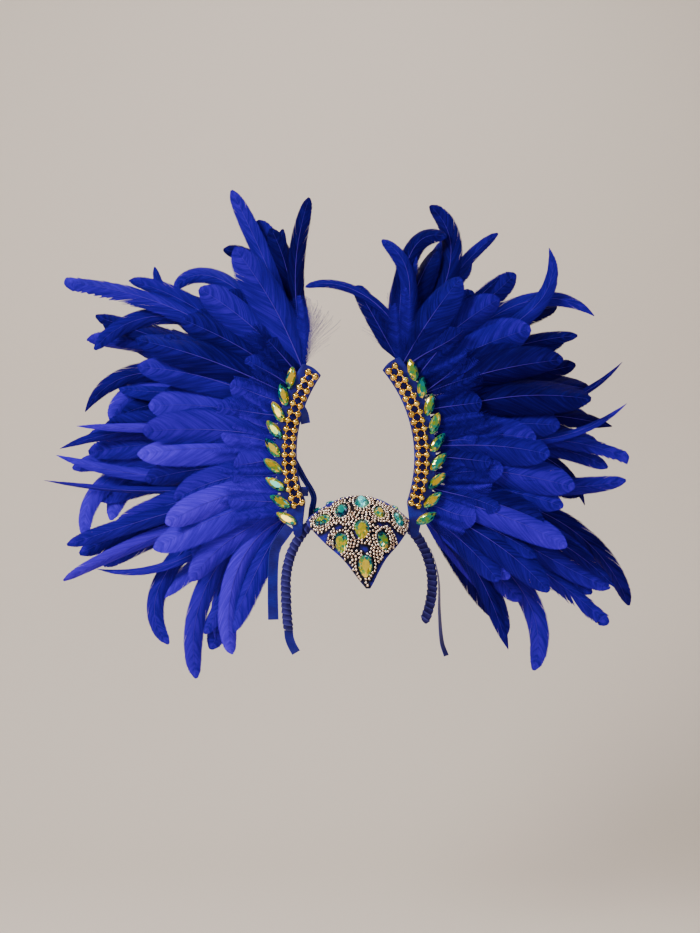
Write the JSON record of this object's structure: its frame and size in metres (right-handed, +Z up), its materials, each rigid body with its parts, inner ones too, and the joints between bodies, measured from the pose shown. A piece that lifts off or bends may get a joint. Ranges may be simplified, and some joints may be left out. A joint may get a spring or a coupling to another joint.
{
  "type": "showgirl feather headdress",
  "caption": "Worn feather headdress: wound headband, stone-set forehead peak, two beaded horns and a fan of long dyed feathers behind each.",
  "frame": {"origin": "the crown seat: the underside of the headband at the top of the head", "axes": "+Z up, +X the viewer's right when the wearer faces the viewer, -Y the way the wearer faces"},
  "size_m": [0.7, 0.1889, 0.5716],
  "materials": {
    "velvet": "crushed velvet ribbon",
    "felt": "felt under satin",
    "feather": "dyed feather, soft sheen",
    "ribbon": "satin ribbon",
    "gold": "polished gold plate",
    "rose_gold": "polished rose-gold plate",
    "stone": "foiled cut stone, rainbow coat",
    "teal_stone": "foiled cut stone, teal"
  },
  "bodies": {
    "root": {"crown_stones": "teal_stone", "feathers_back_left": "feather", "feathers_back_right": "feather", "feathers_front_left": "feather", "feathers_front_right": "feather", "headband": "velvet", "horn_beads_left": "gold", "horn_beads_right": "gold", "horn_plate_left": "felt", "horn_plate_right": "felt", "horn_stone_left_1": "stone", "horn_stone_left_2": "stone", "horn_stone_left_3": "stone", "horn_stone_left_4": "stone", "horn_stone_left_5": "stone", "horn_stone_left_6": "stone", "horn_stone_left_7": "stone", "horn_stone_left_8": "stone", "horn_stone_left_9": "stone", "horn_stone_right_1": "stone", "horn_stone_right_2": "stone", "horn_stone_right_3": "stone", "horn_stone_right_4": "stone", "horn_stone_right_5": "stone", "horn_stone_right_6": "stone", "horn_stone_right_7": "stone", "horn_stone_right_8": "stone", "horn_stone_right_9": "stone", "peak_plate": "felt", "peak_ring_1": "rose_gold", "peak_ring_2": "rose_gold", "peak_ring_3": "rose_gold", "peak_ring_4": "rose_gold", "peak_ring_5": "rose_gold", "peak_ring_6": "rose_gold", "peak_ring_7": "rose_gold", "peak_ring_8": "rose_gold", "peak_ring_9": "rose_gold", "peak_stone_1": "teal_stone", "peak_stone_2": "teal_stone", "peak_stone_3": "teal_stone", "peak_stone_4": "teal_stone", "peak_stone_5": "teal_stone", "peak_stone_6": "stone", "peak_stone_7": "stone", "peak_stone_8": "stone", "peak_stone_9": "stone", "ribbon_brace_left": "ribbon", "ribbon_knot_left": "ribbon", "ribbon_strip_left": "ribbon", "ribbon_tab_left": "ribbon", "ribbon_tail_left": "ribbon", "ribbon_tail_right": "ribbon"}
  },
  "joints": []
}
